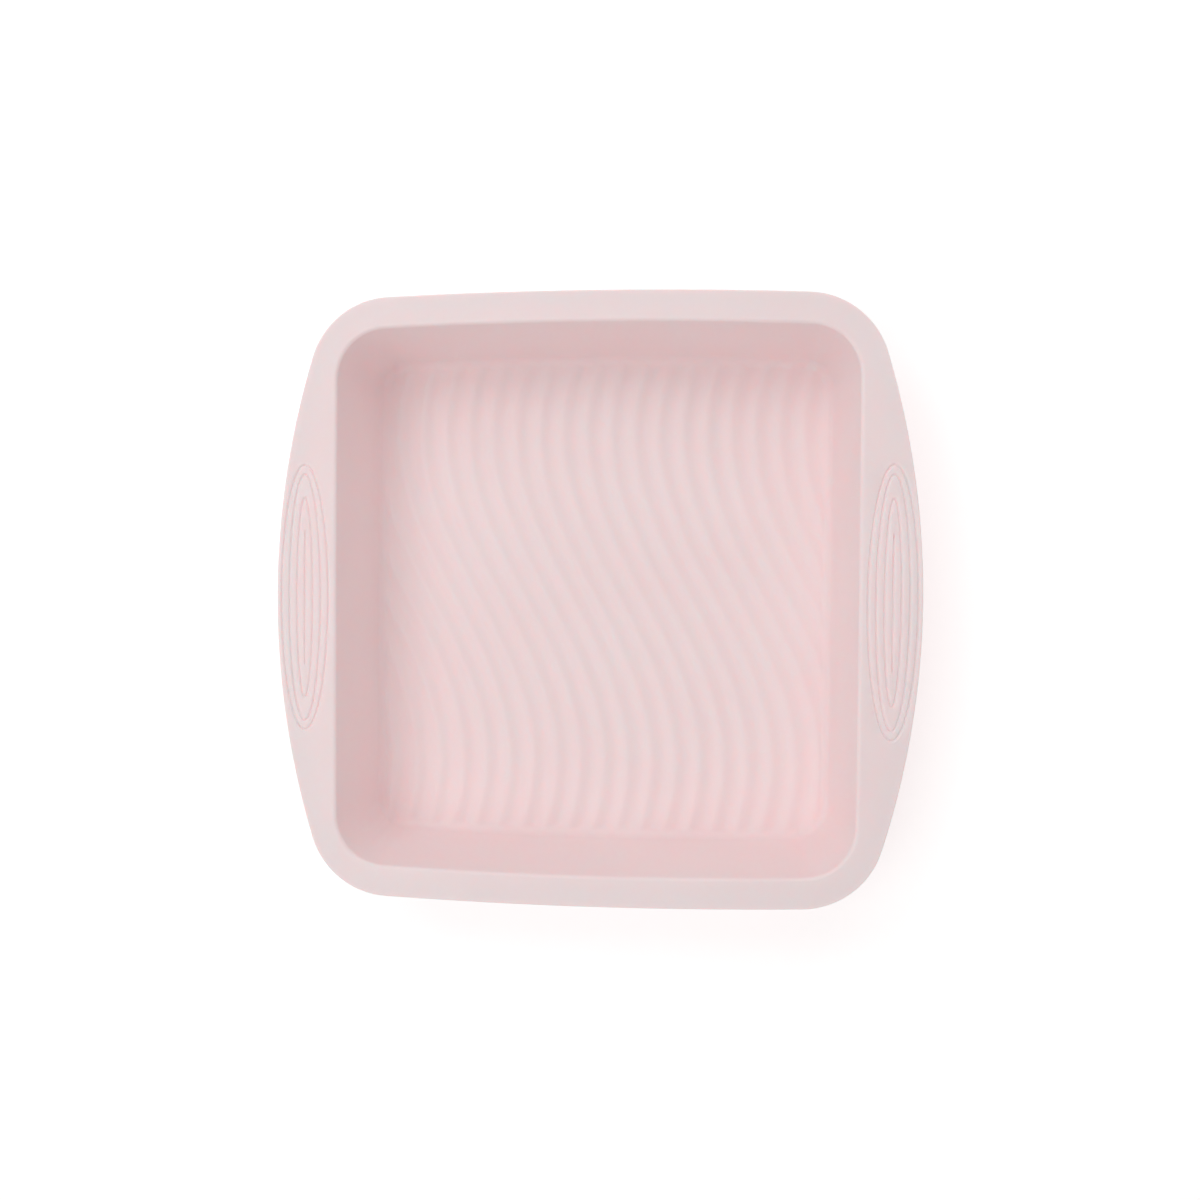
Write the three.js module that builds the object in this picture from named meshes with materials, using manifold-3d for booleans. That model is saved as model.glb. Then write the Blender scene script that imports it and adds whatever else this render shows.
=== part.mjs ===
// A square slab mould of soft silicone, with a rim that widens into two handles. The silicone is one moulding: a
// floor with waved ribs, four sloping walls, and a flat rim whose outer edge thickens into a bead. A steel wire
// ring is moulded into that bead and keeps the rim stiff when the full mould is carried by its handles.
//
// Millimetres. X runs from handle to handle, Y along the plain rims, Z up. The origin is on the surface that the
// mould stands on, under its middle.
import * as THREE from "three";
import { mergeVertices } from "three/addons/utils/BufferGeometryUtils.js";
import Module from "manifold-3d";

const wasm = await Module();
wasm.setup();

// Driving dimensions: the whole mould.
const HEIGHT = 48;
const WALL = 2.6; // silicone of the walls and of the floor
const RIM_PLATE = 3; // silicone of the flat rim
const BEAD_WIDTH = 7; // thick outer edge of the rim
const BEAD_DEPTH = 7;

// Plan outlines: four long arcs joined by corner arcs. side is the pair of edges across X, end the pair across Y.
const RIM_PLAN = { halfX: 134.7, halfY: 128.3, sideRadius: 347, endRadius: 2100, cornerRadius: 35 };
const OPENING_PLAN = { halfX: 108.8, halfY: 115, sideRadius: 20000, endRadius: 2050, cornerRadius: 21 };
const FOOT_PLAN = { halfX: 102.2, halfY: 108.2, sideRadius: 20000, endRadius: 2050, cornerRadius: 13 };

// Rounded edges.
const LIP_RADIUS = 1.6; // where the wall turns into the rim
const FLOOR_FILLET = 5; // inside, where the floor turns into the wall
const EDGE_RADIUS = 0.8; // both edges of the outer bead
const UNDER_FILLET = 1.2; // below the rim, where it meets the bead and the wall

// Waved ribs of the floor: each follows one wave along Y, and the next is one pitch further along X.
const RIB_PITCH = 10.8;
const RIB_WIDTH = 5.4;
const RIB_HEIGHT = 1;
const RIB_OFFSET = -2.9; // X of the middle rib where it crosses Y = 0
const RIB_SWAY = 26; // how far the wave swings along X, each way
const RIB_WAVELENGTH = 300;
const RIB_ROOT = 0.8; // how far a rib's solid reaches down into the floor
const RIB_END_INSET = 3; // its ends, inwards from the foot of the wall
const RIB_STEPS = 10;

// Grip rings on the handles: nested ovals and one straight groove in their middle.
const GRIP_CENTRE_X = 122.5;
const GRIP_RINGS = [
  { halfX: 10.1, halfY: 56 },
  { halfX: 6.8, halfY: 52 },
  { halfX: 3.4, halfY: 42 },
];
const GRIP_SLOT_HALF = 26;
const GROOVE_WIDTH = 1.5;
const GROOVE_DEPTH = 0.6;
const GRIP_STEPS = 24;

// Steel wire ring, its channel in the bead, and the holes that the wire's locating pins leave below it.
const WIRE_RADIUS = 1.5;
const WIRE_GAP = 0.3;
const WIRE_INSET = 3.5; // wire centre, inwards from the rim's edge
const WIRE_DROP = 3.5; // wire centre, below the rim's top
const WIRE_SIDES = 8;
const PIN_HOLE_RADIUS = 1.5;
const PIN_HOLE_SIDES = 10;
const PIN_HOLE_STEPS = [2, 7, 11]; // outline steps of the holes in one quarter: side, corner and end

// Steps along one quarter of a plan outline.
const SIDE_STEPS = 4;
const CORNER_STEPS = 6;
const END_STEPS = 3;
const ARC_STEPS = 3; // steps of a rounded edge in section

const SLACK = 0.4; // how far a cutting tool stands proud of the face that it cuts
const QUARTER = Math.PI / 2;

// ---------------------------------------------------------------------------------------------- plan outlines

// Centre of the corner arc that touches the side arc and the end arc from inside.
function cornerCentre({ halfX, halfY, sideRadius, endRadius, cornerRadius }) {
  const side = new THREE.Vector2(halfX - sideRadius, 0);
  const end = new THREE.Vector2(0, halfY - endRadius);
  const toSide = sideRadius - cornerRadius;
  const toEnd = endRadius - cornerRadius;
  const along = end.clone().sub(side);
  const distance = along.length();
  along.normalize();
  const foot = (toSide ** 2 - toEnd ** 2 + distance ** 2) / (2 * distance);
  const height = Math.sqrt(toSide ** 2 - foot ** 2);
  const across = new THREE.Vector2(-along.y, along.x);
  return side.addScaledVector(along, foot).addScaledVector(across, height);
}

function arcPoints(centre, radius, from, to, steps) {
  return Array.from({ length: steps }, (_, i) => {
    const angle = THREE.MathUtils.lerp(from, to, i / steps);
    return new THREE.Vector2(centre.x + radius * Math.cos(angle), centre.y + radius * Math.sin(angle));
  });
}

// One closed ring at height z, inset inside the plan's edge. Rings of any plan have matching points.
function ring(plan, inset, z) {
  const { halfX, halfY, sideRadius, endRadius, cornerRadius } = plan;
  const side = new THREE.Vector2(halfX - sideRadius, 0);
  const end = new THREE.Vector2(0, halfY - endRadius);
  const corner = cornerCentre(plan);
  const cornerStart = corner.clone().sub(side).angle();
  const cornerEnd = corner.clone().sub(end).angle();
  const quarter = [
    ...arcPoints(side, sideRadius - inset, 0, cornerStart, SIDE_STEPS),
    ...arcPoints(corner, cornerRadius - inset, cornerStart, cornerEnd, CORNER_STEPS),
    ...arcPoints(end, endRadius - inset, cornerEnd, QUARTER, END_STEPS),
  ];
  const quarterEnd = new THREE.Vector2(0, halfY - inset);
  const half = [...quarter, quarterEnd, ...quarter.slice(1).reverse().map((p) => new THREE.Vector2(-p.x, p.y))];
  return [...half, ...half.map((p) => p.clone().negate())].map((p) => new THREE.Vector3(p.x, p.y, z));
}

// ------------------------------------------------------------------------------------------------ solid tools

// Skin through a stack of matching rings, which run anticlockwise round the material in section. Its two ends
// are capped, or joined to each other when it is looped.
function loft(rings, looped = false) {
  const count = rings[0].length;
  const positions = rings.flat().flatMap((p) => [p.x, p.y, p.z]);
  const index = [];
  const spans = looped ? rings.length : rings.length - 1;
  for (let r = 0; r < spans; r++) {
    const lower = r * count;
    const upper = ((r + 1) % rings.length) * count;
    for (let i = 0; i < count; i++) {
      const next = (i + 1) % count;
      index.push(lower + i, lower + next, upper + next);
      index.push(lower + i, upper + next, upper + i);
    }
  }
  if (!looped) {
    const last = (rings.length - 1) * count;
    for (const [a, b, c] of THREE.ShapeUtils.triangulateShape(rings[0], [])) {
      index.push(c, b, a);
      index.push(last + a, last + b, last + c);
    }
  }
  const geometry = new THREE.BufferGeometry();
  geometry.setAttribute("position", new THREE.Float32BufferAttribute(positions, 3));
  geometry.setIndex(index);
  return geometry;
}

function toSolid(geometry) {
  const bare = geometry.clone();
  bare.deleteAttribute("normal");
  bare.deleteAttribute("uv");
  const merged = mergeVertices(bare, 1e-4);
  return new wasm.Manifold(
    new wasm.Mesh({
      numProp: 3,
      vertProperties: merged.getAttribute("position").array,
      triVerts: new Uint32Array(merged.index.array),
    }),
  );
}

function toGeometry(solid) {
  const { vertProperties, triVerts } = solid.getMesh();
  const geometry = new THREE.BufferGeometry();
  geometry.setAttribute("position", new THREE.BufferAttribute(vertProperties, 3));
  geometry.setIndex(new THREE.BufferAttribute(triVerts, 1));
  geometry.computeVertexNormals();
  return geometry;
}

// Points of a quarter round or fillet in section, as [outward, up] pairs.
function sectionArc(centre, radius, from, to) {
  return arcPoints(new THREE.Vector2(...centre), radius, from, to, ARC_STEPS)
    .concat(arcPoints(new THREE.Vector2(...centre), radius, to, to, 1))
    .map((p) => [p.x, p.y]);
}

// ------------------------------------------------------------------------------------------- the mould's shell

const RISE = HEIGHT - WALL;
const DRAFT = Math.atan2(OPENING_PLAN.halfX - FOOT_PLAN.halfX, RISE); // of the wall, from vertical
const TURN = QUARTER - DRAFT; // angle between floor and wall

// Rings of a fillet that turns from a level floor at height z into the sloping wall, outward of the foot plan.
function footFillet(radius, thickness, z) {
  const tangent = radius * Math.tan(TURN / 2);
  const slope = thickness / Math.cos(DRAFT) - thickness * Math.tan(DRAFT);
  return sectionArc([slope - tangent, z + radius], radius, -QUARTER, -QUARTER + TURN).map(([out, up]) =>
    ring(FOOT_PLAN, -out, up),
  );
}

function shellRings() {
  const top = HEIGHT;
  const beadFoot = top - BEAD_DEPTH;
  const plateFoot = top - RIM_PLATE;
  const cavity = footFillet(FLOOR_FILLET, 0, WALL);
  const lip = sectionArc([LIP_RADIUS, top - LIP_RADIUS], LIP_RADIUS, Math.PI, QUARTER).map(([out, up]) =>
    ring(OPENING_PLAN, -out, up),
  );
  const outerEdge = [
    ...sectionArc([-EDGE_RADIUS, top - EDGE_RADIUS], EDGE_RADIUS, QUARTER, 0),
    ...sectionArc([-EDGE_RADIUS, beadFoot + EDGE_RADIUS], EDGE_RADIUS, 0, -QUARTER),
    [-BEAD_WIDTH + EDGE_RADIUS, beadFoot],
    [-BEAD_WIDTH, beadFoot + EDGE_RADIUS],
    [-BEAD_WIDTH, plateFoot - UNDER_FILLET],
    [-BEAD_WIDTH - UNDER_FILLET, plateFoot],
  ].map(([out, up]) => ring(RIM_PLAN, -out, up));
  const wallTop = [
    ring(OPENING_PLAN, -WALL - UNDER_FILLET, plateFoot),
    ring(OPENING_PLAN, -WALL, plateFoot - UNDER_FILLET),
  ];
  const base = footFillet(FLOOR_FILLET + WALL, WALL, 0).reverse();
  return [...cavity, ...lip, ...outerEdge, ...wallTop, ...base].reverse();
}

// ------------------------------------------------------------------------------------------------- floor ribs

const ribX = (y) => RIB_OFFSET - RIB_SWAY * Math.sin((2 * Math.PI * y) / RIB_WAVELENGTH);

// One waved strip, from inside the floor's silicone up to the rib's top.
function ribGeometry(offset) {
  const reach = FOOT_PLAN.halfY;
  const edge = (side) =>
    Array.from({ length: RIB_STEPS + 1 }, (_, i) => {
      const y = THREE.MathUtils.lerp(-reach, reach, i / RIB_STEPS);
      return new THREE.Vector2(offset + ribX(y) + (side * RIB_WIDTH) / 2, y);
    });
  const outline = new THREE.Shape([...edge(1), ...edge(-1).reverse()]);
  const strip = new THREE.ExtrudeGeometry(outline, { depth: RIB_ROOT + RIB_HEIGHT, bevelEnabled: false });
  return strip.translate(0, 0, WALL - RIB_ROOT);
}

// The ribs run out where the floor's fillet rises past their tops.
function ribs() {
  const bounds = toSolid(loft([ring(FOOT_PLAN, RIB_END_INSET, 0), ring(FOOT_PLAN, RIB_END_INSET, HEIGHT)]));
  const reach = Math.ceil((FOOT_PLAN.halfX + RIB_SWAY) / RIB_PITCH);
  const pieces = [];
  for (let k = -reach; k <= reach; k++) {
    const piece = toSolid(ribGeometry(k * RIB_PITCH)).intersect(bounds);
    if (!piece.isEmpty()) pieces.push(piece);
  }
  return pieces;
}

// ------------------------------------------------------------------------------------------- handle grip rings

// Section of the tool that cuts a groove, as [outward, up] from the rim's top: a triangle, point down.
const GROOVE_REACH = (GROOVE_WIDTH / 2) * (1 + SLACK / GROOVE_DEPTH);
const GROOVE_SECTION = [
  [-GROOVE_REACH, SLACK],
  [0, -GROOVE_DEPTH],
  [GROOVE_REACH, SLACK],
];

function grooveRing(centreX, { halfX, halfY }) {
  const oval = (out, up) =>
    Array.from({ length: GRIP_STEPS }, (_, i) => {
      const angle = (2 * Math.PI * i) / GRIP_STEPS;
      const x = centreX + (halfX + out) * Math.cos(angle);
      return new THREE.Vector3(x, (halfY + out) * Math.sin(angle), HEIGHT + up);
    });
  const rings = GROOVE_SECTION.map(([out, up]) => oval(out, up));
  return loft(rings, true);
}

function grooveSlot(centreX) {
  const profile = new THREE.Shape(GROOVE_SECTION.map(([out, up]) => new THREE.Vector2(out, up)));
  const bar = new THREE.ExtrudeGeometry(profile, { depth: 2 * GRIP_SLOT_HALF, bevelEnabled: false });
  return bar.rotateX(QUARTER).translate(centreX, GRIP_SLOT_HALF, HEIGHT);
}

function gripGrooves() {
  return [-GRIP_CENTRE_X, GRIP_CENTRE_X].flatMap((x) => [
    ...GRIP_RINGS.map((size) => toSolid(grooveRing(x, size))),
    toSolid(grooveSlot(x)),
  ]);
}

// --------------------------------------------------------------------------------------------- steel wire ring

// A round bar of the given radius that follows the rim all the way round.
function wireLoop(radius) {
  const rings = Array.from({ length: WIRE_SIDES }, (_, i) => {
    const angle = (2 * Math.PI * (i + 0.5)) / WIRE_SIDES;
    const inset = WIRE_INSET - radius * Math.cos(angle);
    return ring(RIM_PLAN, inset, HEIGHT - WIRE_DROP + radius * Math.sin(angle));
  });
  return loft(rings, true);
}

// Holes from the bead's underside to the wire, the same in each quarter of the rim.
function pinHoles() {
  const path = ring(RIM_PLAN, WIRE_INSET, 0);
  const half = path.length / 2;
  const depth = BEAD_DEPTH - WIRE_DROP + SLACK;
  const steps = PIN_HOLE_STEPS.flatMap((step) => [step, half - step, half + step, path.length - step]);
  return steps.map((step) => {
    const pin = new THREE.CylinderGeometry(PIN_HOLE_RADIUS, PIN_HOLE_RADIUS, depth, PIN_HOLE_SIDES);
    pin.rotateX(QUARTER).translate(path[step].x, path[step].y, HEIGHT - WIRE_DROP - depth / 2);
    return toSolid(pin);
  });
}

// ---------------------------------------------------------------------------------------------------- assembly

function mouldBody() {
  let body = toSolid(loft(shellRings()));
  for (const rib of ribs()) body = body.add(rib);
  for (const groove of gripGrooves()) body = body.subtract(groove);
  body = body.subtract(toSolid(wireLoop(WIRE_RADIUS + WIRE_GAP)));
  for (const hole of pinHoles()) body = body.subtract(hole);
  const silicone = new THREE.MeshStandardMaterial({ color: 0xe9d3d5, roughness: 0.55, metalness: 0 });
  const mesh = new THREE.Mesh(toGeometry(body), silicone);
  mesh.name = "mould_body";
  return mesh;
}

function rimWireRing() {
  const steel = new THREE.MeshStandardMaterial({ color: 0xb9bcc0, roughness: 0.35, metalness: 1 });
  const mesh = new THREE.Mesh(wireLoop(WIRE_RADIUS), steel);
  mesh.name = "rim_wire_ring";
  return mesh;
}

const mould = new THREE.Group();
mould.name = "slab_mould";
mould.add(mouldBody(), rimWireRing());

export default mould;
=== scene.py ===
"""Looks of a square silicone slab mould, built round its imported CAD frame.

The silicone is one fine mesh: a floor with waved ribs, four sloping walls, a flat rim with grip grooves
on its two handles, and a thick outer bead that holds a steel wire ring.
Lengths are in metres, in the row frame.
"""
import math

import bmesh
import bpy
import numpy as np
from mathutils import Matrix, Vector


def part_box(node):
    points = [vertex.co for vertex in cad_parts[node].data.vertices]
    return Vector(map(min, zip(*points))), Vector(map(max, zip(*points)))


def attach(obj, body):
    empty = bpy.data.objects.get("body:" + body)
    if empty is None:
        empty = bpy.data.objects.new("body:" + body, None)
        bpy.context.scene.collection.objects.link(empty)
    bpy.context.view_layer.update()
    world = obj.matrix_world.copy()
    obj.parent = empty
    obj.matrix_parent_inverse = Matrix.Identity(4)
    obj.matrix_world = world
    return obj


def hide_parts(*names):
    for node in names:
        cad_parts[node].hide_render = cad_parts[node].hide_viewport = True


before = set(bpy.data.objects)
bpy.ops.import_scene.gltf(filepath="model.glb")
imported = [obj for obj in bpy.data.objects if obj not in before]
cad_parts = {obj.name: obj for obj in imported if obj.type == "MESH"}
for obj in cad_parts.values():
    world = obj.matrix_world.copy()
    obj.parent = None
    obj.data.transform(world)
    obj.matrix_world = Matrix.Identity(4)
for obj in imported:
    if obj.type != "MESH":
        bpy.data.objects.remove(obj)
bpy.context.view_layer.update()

BODY_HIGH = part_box("mould_body")[1]
WIRE_LOW, WIRE_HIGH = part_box("rim_wire_ring")
MM = 0.001
QUARTER = math.pi / 2

# Section of the moulding.
HEIGHT = BODY_HIGH.z
WALL = 2.6 * MM
RIM_PLATE = 3 * MM
BEAD_WIDTH = 7 * MM
BEAD_DEPTH = 7 * MM
LIP_RADIUS = 1.6 * MM
FLOOR_FILLET = 5 * MM
EDGE_RADIUS = 0.8 * MM
UNDER_FILLET = 1.2 * MM
PARTING_RIDGE = 0.12 * MM  # ridge left round the outer edge where the two halves of the tool met
SUPPORT = 0.1 * MM  # strip beside a rounded edge that keeps the shading of the flat face next to it flat

# Plan outlines: four long arcs joined by corner arcs.
# side is the pair of edges across X, end the pair across Y.
RIM_PLAN = dict(half_x=BODY_HIGH.x, half_y=BODY_HIGH.y, side=347 * MM, end=2100 * MM, corner=35 * MM)
OPENING_PLAN = dict(half_x=108.8 * MM, half_y=115 * MM, side=20, end=2050 * MM, corner=21 * MM)
FOOT_PLAN = dict(half_x=102.2 * MM, half_y=108.2 * MM, side=20, end=2050 * MM, corner=13 * MM)

# Waved ribs of the floor. Near the walls they fade out between two distances from the middle.
RIB_PITCH = 10.8 * MM
RIB_HEIGHT = 0.9 * MM
RIB_OFFSET = -2.9 * MM
RIB_SWAY = 26 * MM
RIB_WAVELENGTH = 300 * MM
RIB_SHARPNESS = 1.3  # above 1, the crests are narrower than the valleys
RIB_FADE_X = (97.5 * MM, 101 * MM)
RIB_FADE_Y = (103.5 * MM, 107.5 * MM)

# Grip grooves of the handles: nested ovals round a straight slot, as half sizes across X and Y.
GRIP_CENTRE_X = 122.5 * MM
GRIP_OVALS_X = np.array([0, 3.4, 6.8, 10.1, 11]) * MM  # the last is the edge of the grip patch
GRIP_OVALS_Y = np.array([26, 42, 52, 56, 57.2]) * MM
GROOVE_HALF_WIDTH = 0.8 * MM
GROOVE_DEPTH = 0.6 * MM
GROOVE_STATIONS = (0, 0.15, 0.33, 0.55, 0.8, 1)  # shares of a groove's half width that get a ring of points
GRIP_STEPS = 144

# Wire channel in the bead, and the locating pin holes below it, as places along a quarter of the rim.
WIRE_SIDES = 8
WIRE_RADIUS = (WIRE_HIGH.z - WIRE_LOW.z) / 2 / math.cos(math.pi / WIRE_SIDES)
WIRE_Z = (WIRE_HIGH.z + WIRE_LOW.z) / 2
WIRE_INSET = BODY_HIGH.x - WIRE_HIGH.x + WIRE_RADIUS * math.cos(math.pi / WIRE_SIDES)
WIRE_GAP = 0.3 * MM
CHANNEL_RADIUS = WIRE_RADIUS + WIRE_GAP
CHANNEL_SIDES = 8
PIN_HOLE_RADIUS = 1.5 * MM
PIN_HOLE_SIDES = 24
PIN_HOLE_SLACK = 1 * MM  # how far the bars that cut the holes stand out below the bead
PIN_HOLE_PLACES = (0.24, 0.5, 0.77)

# Steps along the plan outlines. HALF_STEPS lead from a side's middle to the corner's middle, and the last
# CORNER_STEPS of them are on the corner arc.
HALF_STEPS = 80
CORNER_STEPS = 16
FILLET_STEPS = 16
WALL_STEPS = 5
EDGE_STEPS = 6
UNDER_STEPS = 4  # of the rounded edges below the rim

SHARP_ANGLE = math.radians(35)
MERGE_DISTANCE = 1e-7  # points of neighbouring patches nearer than this are one
LEVEL_TOLERANCE = 1e-6  # edges nearer than this to a height lie in its plane


# ------------------------------------------------------------------------------------ plan outlines

def arc(centre, radius, start, stop, steps):
    """Points on an arc, without its last one."""
    angles = np.linspace(start, stop, steps, endpoint=False)
    return np.column_stack([centre[0] + radius * np.cos(angles), centre[1] + radius * np.sin(angles)])


def plan_ring(plan, out, z):
    """Ring at height z, moved outwards by out.

    Rings of all plans have matching points, anticlockwise from +X.
    """
    side = np.array([plan["half_x"] - plan["side"], 0])
    end = np.array([0, plan["half_y"] - plan["end"]])
    to_side = plan["side"] - plan["corner"]
    to_end = plan["end"] - plan["corner"]
    distance = np.linalg.norm(end - side)
    along = (end - side) / distance
    foot = (to_side**2 - to_end**2 + distance**2) / (2 * distance)
    across = np.array([-along[1], along[0]])
    corner = side + along * foot + across * math.sqrt(to_side**2 - foot**2)
    start = math.atan2(corner[1] - side[1], corner[0] - side[0])
    stop = math.atan2(corner[1] - end[1], corner[0] - end[0])
    straight = HALF_STEPS - CORNER_STEPS
    quarter = np.concatenate([
        arc(side, plan["side"] + out, 0, start, straight),
        arc(corner, plan["corner"] + out, start, stop, 2 * CORNER_STEPS),
        arc(end, plan["end"] + out, stop, QUARTER, straight),
    ])
    middle = np.array([[0, plan["half_y"] + out]])
    half = np.concatenate([quarter, middle, quarter[:0:-1] * [-1, 1]])
    ring = np.concatenate([half, -half])
    return np.column_stack([ring, np.full(len(ring), z)])


def section_arc(centre, radius, start, stop, steps):
    """Points of a rounded edge in section, as (outward, up) pairs."""
    return [
        (centre[0] + radius * math.cos(angle), centre[1] + radius * math.sin(angle))
        for angle in np.linspace(start, stop, steps + 1)
    ]


def rings_of(plan, section):
    return [plan_ring(plan, out, z) for out, z in section]


def between(first, last, steps):
    """Rings between two rings, with both of them left out."""
    return [first + (last - first) * step / steps for step in range(1, steps)]


# --------------------------------------------------------------------------------------- floor ribs

def fade(distance, limits):
    """1 nearer than the first limit, 0 past the second, and smooth between them."""
    share = np.clip((limits[1] - distance) / (limits[1] - limits[0]), 0, 1)
    return share**2 * (3 - 2 * share)


def rib_height(x, y):
    crest = RIB_OFFSET - RIB_SWAY * np.sin(2 * math.pi * y / RIB_WAVELENGTH)
    wave = 0.5 + 0.5 * np.cos(2 * math.pi * (x - crest) / RIB_PITCH)
    return RIB_HEIGHT * wave**RIB_SHARPNESS * fade(np.abs(x), RIB_FADE_X) * fade(np.abs(y), RIB_FADE_Y)


# ------------------------------------------------------------------------------- rings of the shell

RISE = HEIGHT - WALL
DRAFT = math.atan2(OPENING_PLAN["half_x"] - FOOT_PLAN["half_x"], RISE)
TURN = QUARTER - DRAFT  # angle between the floor and the wall


def foot_fillet(radius, thickness, z, steps):
    """Section from a level floor at height z into the wall, on the foot plan."""
    slope = thickness / math.cos(DRAFT) - thickness * math.tan(DRAFT)
    centre = (slope - radius * math.tan(TURN / 2), z + radius)
    return section_arc(centre, radius, -QUARTER, -QUARTER + TURN, steps)


def cavity_rings():
    """From the floor's edge up the fillet, where the ribs run out, and the wall, to the flat of the rim."""
    plain = rings_of(FOOT_PLAN, foot_fillet(FLOOR_FILLET, 0, WALL, FILLET_STEPS))
    outward = (plain[-1] - plain[0])[:, :2]
    outward /= np.linalg.norm(outward, axis=1)[:, None]
    fillet = []
    for ring, angle in zip(plain, np.linspace(-QUARTER, -QUARTER + TURN, FILLET_STEPS + 1)):
        normal = np.column_stack([-outward * math.cos(angle), np.full(len(ring), -math.sin(angle))])
        fillet.append(ring + normal * rib_height(ring[:, 0], ring[:, 1])[:, None])
    lip = section_arc((LIP_RADIUS, HEIGHT - LIP_RADIUS), LIP_RADIUS, math.pi, QUARTER, EDGE_STEPS)
    lip_rings = rings_of(OPENING_PLAN, lip + [(LIP_RADIUS + SUPPORT, HEIGHT)])
    return fillet + between(fillet[-1], lip_rings[0], WALL_STEPS) + lip_rings


def outside_rings():
    """From the flat of the rim over its outer edge, round the bead and down the outer wall to the base."""
    foot = HEIGHT - BEAD_DEPTH
    plate = HEIGHT - RIM_PLATE
    under = plate - UNDER_FILLET
    parting = HEIGHT - BEAD_DEPTH / 2
    rounded = -EDGE_RADIUS - PARTING_RIDGE
    inner = -BEAD_WIDTH + EDGE_RADIUS
    ridge_foot = 2 * PARTING_RIDGE
    bead = [(rounded - SUPPORT, HEIGHT)]
    bead += section_arc((rounded, HEIGHT - EDGE_RADIUS), EDGE_RADIUS, QUARTER, 0, EDGE_STEPS)
    bead += [(-PARTING_RIDGE, parting + ridge_foot), (0, parting), (-PARTING_RIDGE, parting - ridge_foot)]
    bead += section_arc((rounded, foot + EDGE_RADIUS), EDGE_RADIUS, 0, -QUARTER, EDGE_STEPS)
    bead += [(rounded - SUPPORT, foot), (inner + SUPPORT, foot)]
    bead += section_arc((inner, foot + EDGE_RADIUS), EDGE_RADIUS, -QUARTER, -math.pi, UNDER_STEPS)
    bead += section_arc((-BEAD_WIDTH - UNDER_FILLET, under), UNDER_FILLET, 0, QUARTER, UNDER_STEPS)
    bead += [(-BEAD_WIDTH - UNDER_FILLET - SUPPORT, plate)]
    wall = [(WALL + UNDER_FILLET + SUPPORT, plate)]
    wall += section_arc((WALL + UNDER_FILLET, under), UNDER_FILLET, QUARTER, math.pi, UNDER_STEPS)
    base = foot_fillet(FLOOR_FILLET + WALL, WALL, 0, FILLET_STEPS // 2)[::-1]
    base += [(base[-1][0] - SUPPORT, 0)]
    wall_rings = rings_of(OPENING_PLAN, wall)
    base_rings = rings_of(FOOT_PLAN, base)
    outer_wall = wall_rings + between(wall_rings[-1], base_rings[0], WALL_STEPS) + base_rings
    return rings_of(RIM_PLAN, bead) + outer_wall


# --------------------------------------------------------------------------------------- mesh tools

class Skin:
    """Points and faces of one mesh, gathered patch by patch. Patches meet where their points coincide."""

    def __init__(self):
        self.points = []
        self.faces = []

    def grid(self, rows, looped):
        """Quads between neighbouring rows of points. Looped rows close on themselves."""
        start = sum(map(len, self.points))
        count = len(rows[0])
        self.points += rows
        steps = np.arange(count if looped else count - 1)
        for row in range(len(rows) - 1):
            first = start + row * count + steps
            second = start + row * count + (steps + 1) % count
            self.faces += np.column_stack([first, second, second + count, first + count]).tolist()

    def bmesh(self):
        mesh = bpy.data.meshes.new("skin")
        mesh.from_pydata(np.concatenate(self.points).tolist(), [], self.faces)
        solid = bmesh.new()
        solid.from_mesh(mesh)
        bpy.data.meshes.remove(mesh)
        bmesh.ops.remove_doubles(solid, verts=solid.verts, dist=MERGE_DISTANCE)
        bmesh.ops.dissolve_degenerate(solid, edges=solid.edges, dist=MERGE_DISTANCE)
        return solid


def fill_level(solid, z):
    """Fills the level gap at height z, and leaves the patches inside it as they are."""
    edges = [
        edge for edge in solid.edges
        if edge.is_boundary and all(abs(vert.co.z - z) < LEVEL_TOLERANCE for vert in edge.verts)
    ]
    bmesh.ops.triangle_fill(solid, edges=edges, use_beauty=True, normal=(0, 0, 1))


def to_mesh(solid, name):
    bmesh.ops.recalc_face_normals(solid, faces=solid.faces)
    mesh = bpy.data.meshes.new(name)
    solid.to_mesh(mesh)
    solid.free()
    return mesh


def place(data, name):
    """Adds an object made of this mesh, light or camera to the scene."""
    thing = bpy.data.objects.new(name, data)
    bpy.context.scene.collection.objects.link(thing)
    return thing


# --------------------------------------------------------------------------- floor and grip patches

def floor_rows(edge):
    """Square grid of points that scales the floor's edge ring down to the middle, lifted by the ribs."""
    n = HALF_STEPS
    steps = np.arange(-n, n + 1)
    i, j = np.meshgrid(steps, steps, indexing="ij")
    level = np.maximum(np.abs(i), np.abs(j))
    scale = n / np.maximum(level, 1)
    x = np.round(i * scale, 6)
    y = np.round(j * scale, 6)
    place_on_edge = np.select([x >= n, y >= n, x <= -n], [y, 2 * n - x, 4 * n - y], 6 * n + x) % (8 * n)
    low = np.floor(place_on_edge).astype(int)
    share = (place_on_edge - low)[..., None]
    ring = edge[low] * (1 - share) + edge[(low + 1) % (8 * n)] * share
    xy = ring[..., :2] * (level / n)[..., None]
    z = WALL + rib_height(xy[..., 0], xy[..., 1])
    return list(np.dstack([xy, z]))


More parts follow.
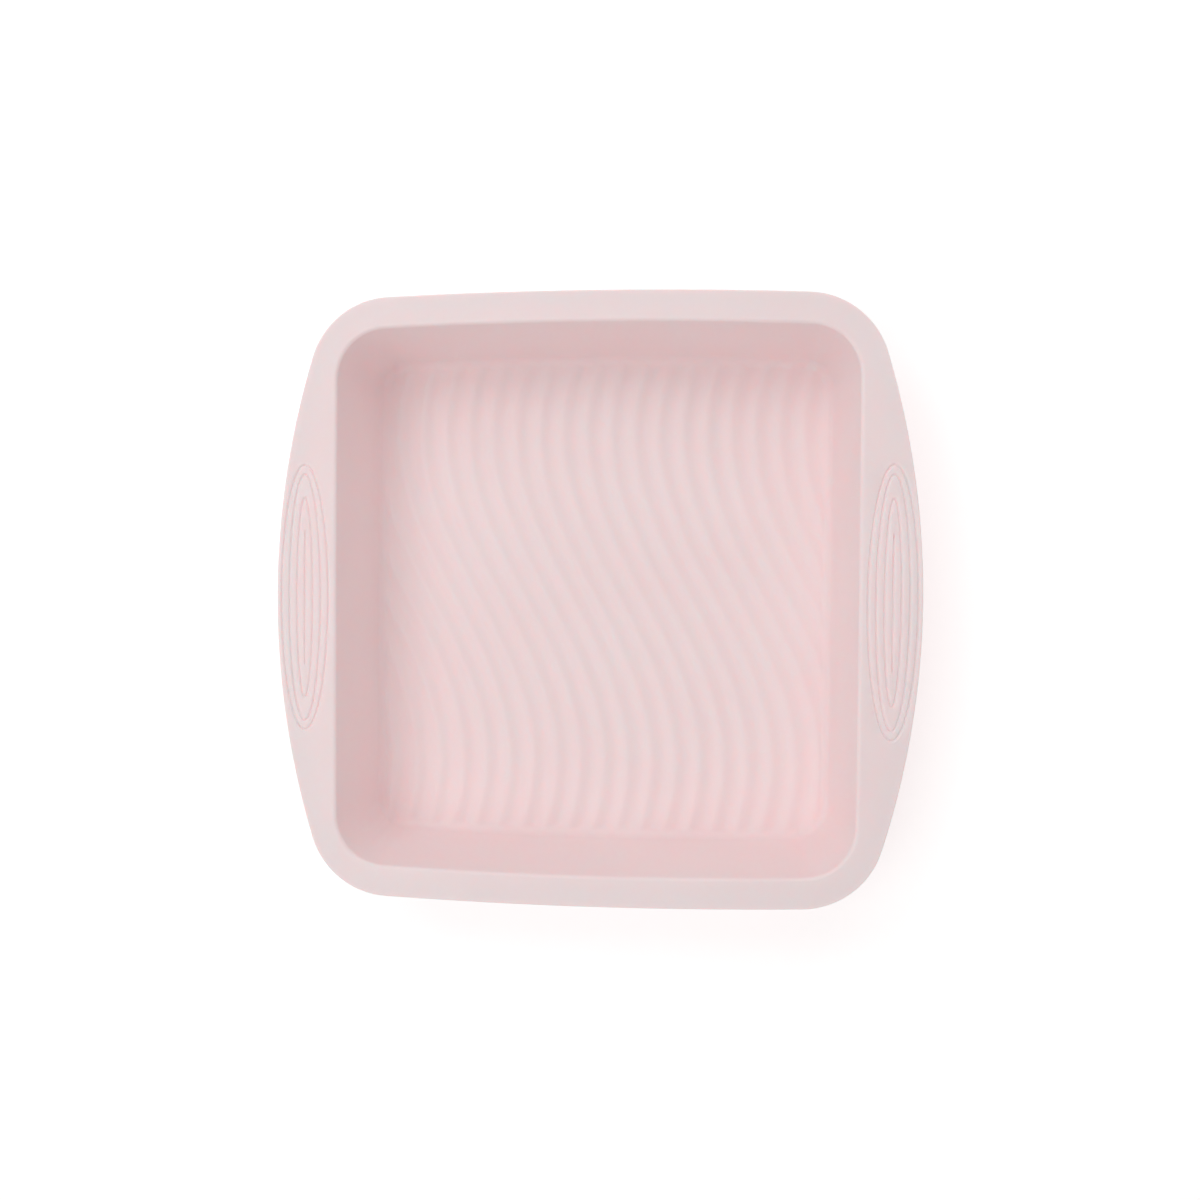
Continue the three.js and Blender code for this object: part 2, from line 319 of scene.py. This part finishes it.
def grip_rows(centre_x):
    """Nested ovals of points from the middle slot to the edge of a grip patch, sunk where a groove runs."""
    turn = 2 * math.pi * np.arange(GRIP_STEPS) / GRIP_STEPS
    grooves = GRIP_OVALS_X[:-1]
    offsets = [sign * share * GROOVE_HALF_WIDTH for share in GROOVE_STATIONS for sign in (-1, 1)]
    stations = np.unique([round(groove + offset, 9) for groove in grooves for offset in offsets])
    widening = np.diff(GRIP_OVALS_Y) / np.diff(GRIP_OVALS_X)
    rows = []
    for half_x in [*stations[stations >= 0], GRIP_OVALS_X[-1]]:
        half_y = np.interp(half_x, GRIP_OVALS_X, GRIP_OVALS_Y)
        growth = widening[np.searchsorted(grooves, half_x, side="right") - 1]
        across = half_y * np.cos(turn) ** 2 + half_x * growth * np.sin(turn) ** 2
        along = np.hypot(half_y * np.cos(turn), half_x * np.sin(turn))
        spread = np.where(along > 0, across / np.maximum(along, MERGE_DISTANCE), growth)
        share = np.clip(np.min(np.abs(grooves - half_x)) * spread / GROOVE_HALF_WIDTH, 0, 1)
        z = HEIGHT - GROOVE_DEPTH * (0.5 + 0.5 * np.cos(math.pi * share))
        rows.append(np.column_stack([centre_x + half_x * np.cos(turn), half_y * np.sin(turn), z]))
    rows[-1][:, 2] = HEIGHT
    return rows


# ----------------------------------------------------------------------------------- silicone piece

def channel_mesh():
    """Round bar that follows the rim, which cuts the wire's channel."""
    skin = Skin()
    angles = 2 * math.pi * np.arange(CHANNEL_SIDES + 1) / CHANNEL_SIDES
    section = [
        (CHANNEL_RADIUS * math.cos(angle) - WIRE_INSET, CHANNEL_RADIUS * math.sin(angle) + WIRE_Z)
        for angle in angles
    ]
    skin.grid(rings_of(RIM_PLAN, section), looped=True)
    return to_mesh(skin.bmesh(), "channel")


def pin_hole_mesh():
    """Short bars up into the channel, the same in each quarter of the rim."""
    path = plan_ring(RIM_PLAN, -WIRE_INSET, 0)
    half = len(path) // 2
    bottom = HEIGHT - BEAD_DEPTH - PIN_HOLE_SLACK
    solid = bmesh.new()
    for share in PIN_HOLE_PLACES:
        step = round(share * half / 2)
        for x, y, _ in path[[step, half - step, half + step, len(path) - step]]:
            bmesh.ops.create_cone(
                solid, cap_ends=True, segments=PIN_HOLE_SIDES,
                radius1=PIN_HOLE_RADIUS, radius2=PIN_HOLE_RADIUS, depth=WIRE_Z - bottom,
                matrix=Matrix.Translation((x, y, (bottom + WIRE_Z) / 2)),
            )
    return to_mesh(solid, "pin_holes")


def cut(piece, tool_mesh):
    """Cuts the tool out of the piece for good."""
    tool = place(tool_mesh, "tool")
    modifier = piece.modifiers.new("cut", "BOOLEAN")
    modifier.operation = "DIFFERENCE"
    modifier.solver = "MANIFOLD"
    modifier.object = tool
    result = bpy.data.meshes.new_from_object(piece.evaluated_get(bpy.context.evaluated_depsgraph_get()))
    piece.modifiers.clear()
    piece.data = result
    bpy.data.objects.remove(tool)


def silicone_mould():
    skin = Skin()
    cavity = cavity_rings()
    skin.grid(floor_rows(cavity[0]), looped=False)
    skin.grid(cavity, looped=True)
    skin.grid(outside_rings(), looped=True)
    for side in (-1, 1):
        skin.grid(grip_rows(side * GRIP_CENTRE_X), looped=True)
    solid = skin.bmesh()
    fill_level(solid, HEIGHT)
    fill_level(solid, 0)
    piece = place(to_mesh(solid, "silicone_mould"), "silicone_mould")
    cut(piece, channel_mesh())
    cut(piece, pin_hole_mesh())
    piece.data.shade_smooth()
    piece.data.set_sharp_from_angle(angle=SHARP_ANGLE)
    return piece


# ---------------------------------------------------------------------------------------- materials

class Look:
    """A material with one Principled shader, and short calls that add its nodes."""

    def __init__(self, name, **values):
        self.material = bpy.data.materials.new(name)
        self.material.use_nodes = True
        self.tree = self.material.node_tree
        self.shader = next(n for n in self.tree.nodes if n.type == "BSDF_PRINCIPLED")
        for key, value in values.items():
            self.shader.inputs[key.replace("_", " ")].default_value = value

    def node(self, kind, **inputs):
        """Adds a node. An input is a number, a tuple or another node's output."""
        node = self.tree.nodes.new(kind)
        for key, value in inputs.items():
            socket = node.inputs[key.replace("_", " ")]
            if isinstance(value, bpy.types.NodeSocket):
                self.tree.links.new(value, socket)
            else:
                socket.default_value = value
        return node

    def noise(self, scale, detail, stretch=(1, 1, 1)):
        """Noise in the object's own space, as a factor. scale is in waves per metre."""
        point = self.node("ShaderNodeTexCoord").outputs["Object"]
        point = self.node("ShaderNodeMapping", Vector=point, Scale=stretch).outputs["Vector"]
        return self.node("ShaderNodeTexNoise", Vector=point, Scale=scale, Detail=detail).outputs["Fac"]

    def spread(self, factor, low, high):
        """Link for a number that runs from low to high as the factor does."""
        return self.node("ShaderNodeMapRange", Value=factor, To_Min=low, To_Max=high).outputs["Result"]

    def ramp(self, factor, first, last):
        node = self.node("ShaderNodeValToRGB", Fac=factor)
        for element, (position, colour) in zip(node.color_ramp.elements, (first, last)):
            element.position = position
            element.color = (*colour, 1)
        return node.outputs["Color"]

    def bump(self, factor, strength, distance):
        node = self.node("ShaderNodeBump", Height=factor, Strength=strength, Distance=distance)
        self.link(node.outputs["Normal"], "Normal")

    def link(self, socket, name):
        self.tree.links.new(socket, self.shader.inputs[name])


def silicone_material():
    """Soft pale pink silicone: cloudy colour, a matte skin with a fine grain, and light in its depth."""
    look = Look(
        "pale_silicone", IOR=1.41, Specular_IOR_Level=0.5, Subsurface_Weight=1, Subsurface_Scale=0.0016,
        Subsurface_Radius=(1, 0.55, 0.5),
    )
    cloud = look.noise(scale=18, detail=3)
    look.link(look.ramp(cloud, (0.3, (0.985, 0.795, 0.8)), (0.7, (0.993, 0.815, 0.82))), "Base Color")
    grain = look.noise(scale=2600, detail=2)
    look.link(look.spread(grain, 0.38, 0.5), "Roughness")
    look.bump(grain, strength=0.12, distance=0.05 * MM)
    return look.material


def steel_material():
    """Drawn stainless wire, with fine scratches and slightly uneven gloss."""
    look = Look("drawn_steel", Metallic=1)
    scratch = look.noise(scale=400, detail=4, stretch=(1, 1, 15))
    look.link(look.ramp(scratch, (0.3, (0.42, 0.43, 0.45)), (0.7, (0.62, 0.63, 0.64))), "Base Color")
    look.link(look.spread(scratch, 0.22, 0.42), "Roughness")
    look.bump(scratch, strength=0.2, distance=0.03 * MM)
    return look.material


def card_material():
    """Matte white card with a barely uneven tone."""
    look = Look("white_card", Roughness=0.9, Emission_Color=(1, 1, 1, 1), Emission_Strength=CARD_GLOW)
    look.link(look.spread(look.noise(scale=3, detail=2), 0.93, 0.95), "Base Color")
    return look.material


# ------------------------------------------------------------------------------------------- studio

CAMERA_AIM = Vector((3.2, 0.2, 48)) * MM  # point in the rim's plane at the middle of the view
CAMERA_LEAN = (0.0872, 0.0244)  # how far the view leans towards +X and +Y, as a share of its length
CAMERA_ROLL = 0.0097
CAMERA_DISTANCE = 474.5 * MM
CAMERA_LENS = 34.35  # focal length in millimetres

# Azimuth from +X and elevation in degrees, diameter, and power in watts. All of them aim at the origin.
SOFTBOXES = {
    "left_softbox": (205, 65, 1.0, 3.4),
    "rear_softbox": (90, 50, 1.0, 2.8),
    "rear_left_softbox": (135, 50, 0.5, 1.4),
}
SOFTBOX_DISTANCE = 1.4
WORLD_COLOUR = (1, 0.975, 0.97)  # the fill light is a little warmer than the softboxes
WORLD_STRENGTH = 0.55
CARD_GLOW = 0.3  # the card is lit from behind, as on a light table
STAGE_SIZE = 12
STAGE_DROP = 0.2 * MM


def add_camera():
    camera = place(bpy.data.cameras.new("camera"), "camera")
    camera.data.lens = CAMERA_LENS
    back = Vector((*CAMERA_LEAN, math.sqrt(1 - CAMERA_LEAN[0] ** 2 - CAMERA_LEAN[1] ** 2)))
    right = Vector((math.cos(CAMERA_ROLL), math.sin(CAMERA_ROLL), 0))
    right = (right - back * right.dot(back)).normalized()
    turned = Matrix((right, back.cross(right), back)).transposed().to_4x4()
    camera.matrix_world = Matrix.Translation(CAMERA_AIM + back * CAMERA_DISTANCE) @ turned
    bpy.context.scene.camera = camera


def add_softboxes():
    for name, (azimuth, elevation, diameter, power) in SOFTBOXES.items():
        light = place(bpy.data.lights.new(name, "AREA"), name)
        light.data.shape = "DISK"
        light.data.size = diameter
        light.data.energy = power
        turn = math.radians(azimuth)
        rise = math.radians(elevation)
        towards = Vector((math.cos(rise) * math.cos(turn), math.cos(rise) * math.sin(turn), math.sin(rise)))
        light.location = towards * SOFTBOX_DISTANCE
        light.rotation_mode = "QUATERNION"
        light.rotation_quaternion = towards.to_track_quat("Z", "Y")


def add_world():
    world = bpy.data.worlds.new("studio")
    world.use_nodes = True
    background = world.node_tree.nodes["Background"]
    background.inputs["Color"].default_value = (*WORLD_COLOUR, 1)
    background.inputs["Strength"].default_value = WORLD_STRENGTH
    bpy.context.scene.world = world


def add_stage():
    solid = bmesh.new()
    bmesh.ops.create_grid(
        solid, x_segments=1, y_segments=1, size=STAGE_SIZE / 2,
        matrix=Matrix.Translation((0, 0, -STAGE_DROP)),
    )
    floor = place(to_mesh(solid, "studio_floor"), "studio_floor")
    floor.data.materials.append(card_material())


# ----------------------------------------------------------------------------------------- assembly

add_camera()
add_softboxes()
add_world()
add_stage()
bpy.context.scene.view_settings.view_transform = "Standard"

mould = silicone_mould()
mould.data.materials.clear()
mould.data.materials.append(silicone_material())
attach(mould, "root")
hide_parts("mould_body")

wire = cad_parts["rim_wire_ring"]
wire.data.materials.clear()
wire.data.materials.append(steel_material())
